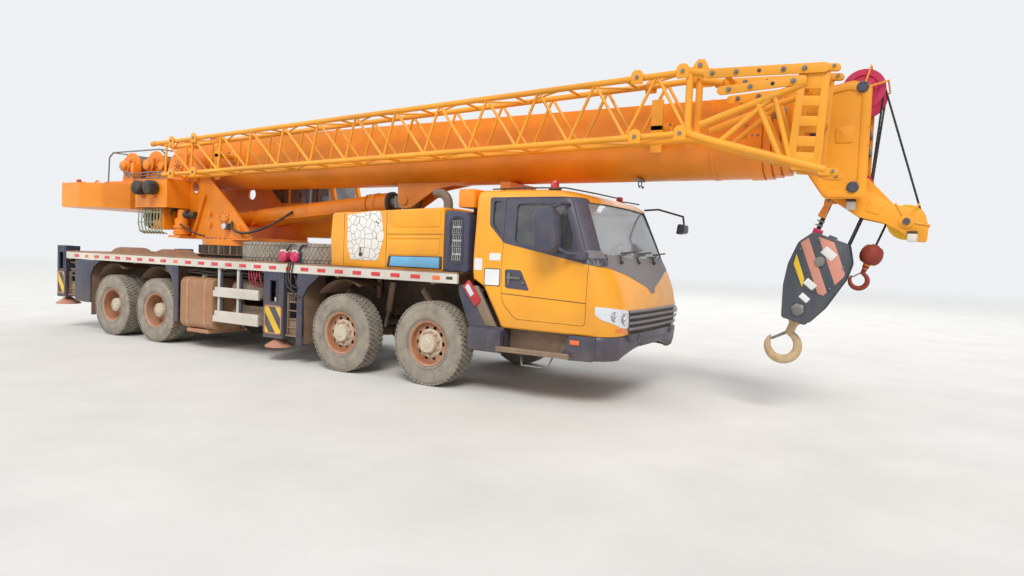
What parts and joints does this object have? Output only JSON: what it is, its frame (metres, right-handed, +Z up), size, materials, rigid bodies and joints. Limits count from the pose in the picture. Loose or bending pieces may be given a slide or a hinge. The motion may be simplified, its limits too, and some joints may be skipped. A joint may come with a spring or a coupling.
{
  "type": "mobile crane",
  "caption": "Truck crane with sliding outriggers, engine hood, driver's cab, slewing upper works, operator's cab, telescopic boom, stowed lattice jib and hanging hooks.",
  "frame": {"origin": "on the ground, half way along the whole machine, on its middle plane", "axes": "+X driving direction, +Y the machine's left, +Z up"},
  "size_m": [15.14, 3.34, 3.915],
  "materials": {
    "tyre": "dusty black rubber",
    "rim_orange": "worn orange paint",
    "chassis_dark": "dark grey paint",
    "rail_white": "white paint",
    "blue_grey": "blue-grey paint",
    "deck_brown": "worn deck paint",
    "yellow": "amber yellow paint",
    "dark_trim": "matt black",
    "glass": "tinted glass",
    "lamp": "lamp lens",
    "steel": "oiled steel",
    "hook_grey": "grey paint",
    "red": "red paint",
    "orange": "orange paint"
  },
  "bodies": {
    "carrier": {"chassis_frame": "chassis_dark", "deck": "deck_brown", "side_rails": "rail_white", "side_panels": "blue_grey", "tanks": "deck_brown", "drive_train": "chassis_dark", "engine_hood": "yellow", "intake_exhaust": "dark_trim", "cab_shell": "yellow", "cab_glass": "glass", "cab_inside": "dark_trim", "cab_front": "blue_grey", "fittings": "lamp", "boom_rest": "orange", "spare_tyres": "tyre"},
    "wheel_1_right": {"tyre_1_right": "tyre", "rim_1_right": "rim_orange"},
    "steering_1_right": {"knuckle_1_right": "chassis_dark"},
    "wheel_2_right": {"tyre_2_right": "tyre", "rim_2_right": "rim_orange"},
    "steering_2_right": {"knuckle_2_right": "chassis_dark"},
    "wheel_3_right": {"tyres_3_right": "tyre", "rims_3_right": "rim_orange"},
    "wheel_4_right": {"tyres_4_right": "tyre", "rims_4_right": "rim_orange"},
    "wheel_1_left": {"tyre_1_left": "tyre", "rim_1_left": "rim_orange"},
    "steering_1_left": {"knuckle_1_left": "chassis_dark"},
    "wheel_2_left": {"tyre_2_left": "tyre", "rim_2_left": "rim_orange"},
    "steering_2_left": {"knuckle_2_left": "chassis_dark"},
    "wheel_3_left": {"tyres_3_left": "tyre", "rims_3_left": "rim_orange"},
    "wheel_4_left": {"tyres_4_left": "tyre", "rims_4_left": "rim_orange"},
    "driver_door_right": {"door_right": "yellow"},
    "outrigger_front_right": {"beam_front_right": "blue_grey"},
    "stabiliser_front_right": {"jack_front_right": "steel"},
    "outrigger_rear_right": {"beam_rear_right": "blue_grey"},
    "stabiliser_rear_right": {"jack_rear_right": "steel"},
    "driver_door_left": {"door_left": "yellow"},
    "outrigger_front_left": {"beam_front_left": "blue_grey"},
    "stabiliser_front_left": {"jack_front_left": "steel"},
    "outrigger_rear_left": {"beam_rear_left": "blue_grey"},
    "stabiliser_rear_left": {"jack_rear_left": "steel"},
    "superstructure": {"turntable": "yellow", "counterweight": "yellow", "upper_machinery": "dark_trim", "operator_cab": "yellow"},
    "boom": {"boom_base": "yellow", "jib": "yellow"},
    "telescope_2": {"boom_section_2": "yellow"},
    "telescope_3": {"boom_section_3": "yellow"},
    "telescope_4": {"boom_section_4": "yellow"},
    "telescope_5": {"boom_section_5": "yellow", "head_sheaves": "red"},
    "luffing_barrel": {"luff_barrel": "yellow"},
    "luffing_rod": {"luff_rod": "steel"},
    "main_hook": {"hook_block": "hook_grey"},
    "auxiliary_hook": {"aux_hook": "red"}
  },
  "joints": [
    {"name": "steer_1_right", "type": "hinge", "parent": "carrier", "child": "steering_1_right", "pos_m": [2, -0.96, 0.5625], "axis": [0, 0, 1], "range_deg": [-35, 35]},
    {"name": "spin_1_right", "type": "hinge", "parent": "steering_1_right", "child": "wheel_1_right", "pos_m": [2, -1.225, 0.5625], "axis": [0, 1, 0], "continuous": true},
    {"name": "steer_2_right", "type": "hinge", "parent": "carrier", "child": "steering_2_right", "pos_m": [0.445, -0.96, 0.5625], "axis": [0, 0, 1], "range_deg": [-25.2, 25.2]},
    {"name": "spin_2_right", "type": "hinge", "parent": "steering_2_right", "child": "wheel_2_right", "pos_m": [0.445, -1.225, 0.5625], "axis": [0, 1, 0], "continuous": true},
    {"name": "spin_3_right", "type": "hinge", "parent": "carrier", "child": "wheel_3_right", "pos_m": [-3.98, -1.0525, 0.5625], "axis": [0, 1, 0], "continuous": true},
    {"name": "spin_4_right", "type": "hinge", "parent": "carrier", "child": "wheel_4_right", "pos_m": [-5.32, -1.0525, 0.5625], "axis": [0, 1, 0], "continuous": true},
    {"name": "steer_1_left", "type": "hinge", "parent": "carrier", "child": "steering_1_left", "pos_m": [2, 0.96, 0.5625], "axis": [0, 0, 1], "range_deg": [-35, 35]},
    {"name": "spin_1_left", "type": "hinge", "parent": "steering_1_left", "child": "wheel_1_left", "pos_m": [2, 1.225, 0.5625], "axis": [0, 1, 0], "continuous": true},
    {"name": "steer_2_left", "type": "hinge", "parent": "carrier", "child": "steering_2_left", "pos_m": [0.445, 0.96, 0.5625], "axis": [0, 0, 1], "range_deg": [-25.2, 25.2]},
    {"name": "spin_2_left", "type": "hinge", "parent": "steering_2_left", "child": "wheel_2_left", "pos_m": [0.445, 1.225, 0.5625], "axis": [0, 1, 0], "continuous": true},
    {"name": "spin_3_left", "type": "hinge", "parent": "carrier", "child": "wheel_3_left", "pos_m": [-3.98, 1.0525, 0.5625], "axis": [0, 1, 0], "continuous": true},
    {"name": "spin_4_left", "type": "hinge", "parent": "carrier", "child": "wheel_4_left", "pos_m": [-5.32, 1.0525, 0.5625], "axis": [0, 1, 0], "continuous": true},
    {"name": "door_right_hinge", "type": "hinge", "parent": "carrier", "child": "driver_door_right", "pos_m": [4.193, -1.282, 1.7], "axis": [0, 0, 1], "range_deg": [0, 65]},
    {"name": "extend_front_right", "type": "slide", "parent": "carrier", "child": "outrigger_front_right", "axis": [0, -1, 0], "range_m": [0, 1.7]},
    {"name": "lower_front_right", "type": "slide", "parent": "outrigger_front_right", "child": "stabiliser_front_right", "axis": [0, 0, -1], "range_m": [0, 0.65]},
    {"name": "extend_rear_right", "type": "slide", "parent": "carrier", "child": "outrigger_rear_right", "axis": [0, -1, 0], "range_m": [0, 1.7]},
    {"name": "lower_rear_right", "type": "slide", "parent": "outrigger_rear_right", "child": "stabiliser_rear_right", "axis": [0, 0, -1], "range_m": [0, 0.65]},
    {"name": "door_left_hinge", "type": "hinge", "parent": "carrier", "child": "driver_door_left", "pos_m": [4.193, 1.282, 1.7], "axis": [0, 0, -1], "range_deg": [0, 65]},
    {"name": "extend_front_left", "type": "slide", "parent": "carrier", "child": "outrigger_front_left", "axis": [0, 1, 0], "range_m": [0, 1.7]},
    {"name": "lower_front_left", "type": "slide", "parent": "outrigger_front_left", "child": "stabiliser_front_left", "axis": [0, 0, -1], "range_m": [0, 0.65]},
    {"name": "extend_rear_left", "type": "slide", "parent": "carrier", "child": "outrigger_rear_left", "axis": [0, 1, 0], "range_m": [0, 1.7]},
    {"name": "lower_rear_left", "type": "slide", "parent": "outrigger_rear_left", "child": "stabiliser_rear_left", "axis": [0, 0, -1], "range_m": [0, 0.65]},
    {"name": "slew", "type": "hinge", "parent": "carrier", "child": "superstructure", "pos_m": [-3.25, 0, 1.745], "axis": [0, 0, 1], "continuous": true},
    {"name": "luff", "type": "hinge", "parent": "superstructure", "child": "boom", "pos_m": [-4.45, 0, 3.2], "axis": [0, -1, 0], "range_deg": [0, 80]},
    {"name": "luff_barrel_swing", "type": "hinge", "parent": "superstructure", "child": "luffing_barrel", "pos_m": [-3.12, 0, 2.25], "axis": [0, -1, 0], "range_deg": [0, 83.5]},
    {"name": "luff_rod_stroke", "type": "slide", "parent": "luffing_barrel", "child": "luffing_rod", "axis": [0.9965, 0, 0.0842], "range_m": [0, 2.0823]},
    {"name": "extend_section_2", "type": "slide", "parent": "boom", "child": "telescope_2", "axis": [1, 0, 0], "range_m": [0, 8.8]},
    {"name": "extend_section_3", "type": "slide", "parent": "telescope_2", "child": "telescope_3", "axis": [1, 0, 0], "range_m": [0, 8.8]},
    {"name": "extend_section_4", "type": "slide", "parent": "telescope_3", "child": "telescope_4", "axis": [1, 0, 0], "range_m": [0, 8.8]},
    {"name": "extend_section_5", "type": "slide", "parent": "telescope_4", "child": "telescope_5", "axis": [1, 0, 0], "range_m": [0, 8.8]},
    {"name": "main_hook_swing", "type": "hinge", "parent": "telescope_5", "child": "main_hook", "pos_m": [6.86, 0, 2.64], "axis": [0, -1, 0], "range_deg": [-58, 0]},
    {"name": "auxiliary_hook_swing", "type": "hinge", "parent": "telescope_5", "child": "auxiliary_hook", "pos_m": [7.38, 0, 2.29], "axis": [0, -1, 0], "range_deg": [-48, 0]}
  ],
  "couplings": [
    {"joint": "steer_1_left", "follows": "steer_1_right", "ratio": 1},
    {"joint": "steer_2_right", "follows": "steer_1_right", "ratio": 0.72},
    {"joint": "steer_2_left", "follows": "steer_1_right", "ratio": 0.72},
    {"joint": "luff_barrel_swing", "follows": "luff", "ratio": 1.0437},
    {"joint": "luff_rod_stroke", "follows": "luff", "m_per_rad": 1.4913},
    {"joint": "extend_section_3", "follows": "extend_section_2", "ratio": 1},
    {"joint": "extend_section_4", "follows": "extend_section_2", "ratio": 1},
    {"joint": "extend_section_5", "follows": "extend_section_2", "ratio": 1},
    {"joint": "main_hook_swing", "follows": "luff", "ratio": -0.725},
    {"joint": "auxiliary_hook_swing", "follows": "luff", "ratio": -0.6}
  ]
}
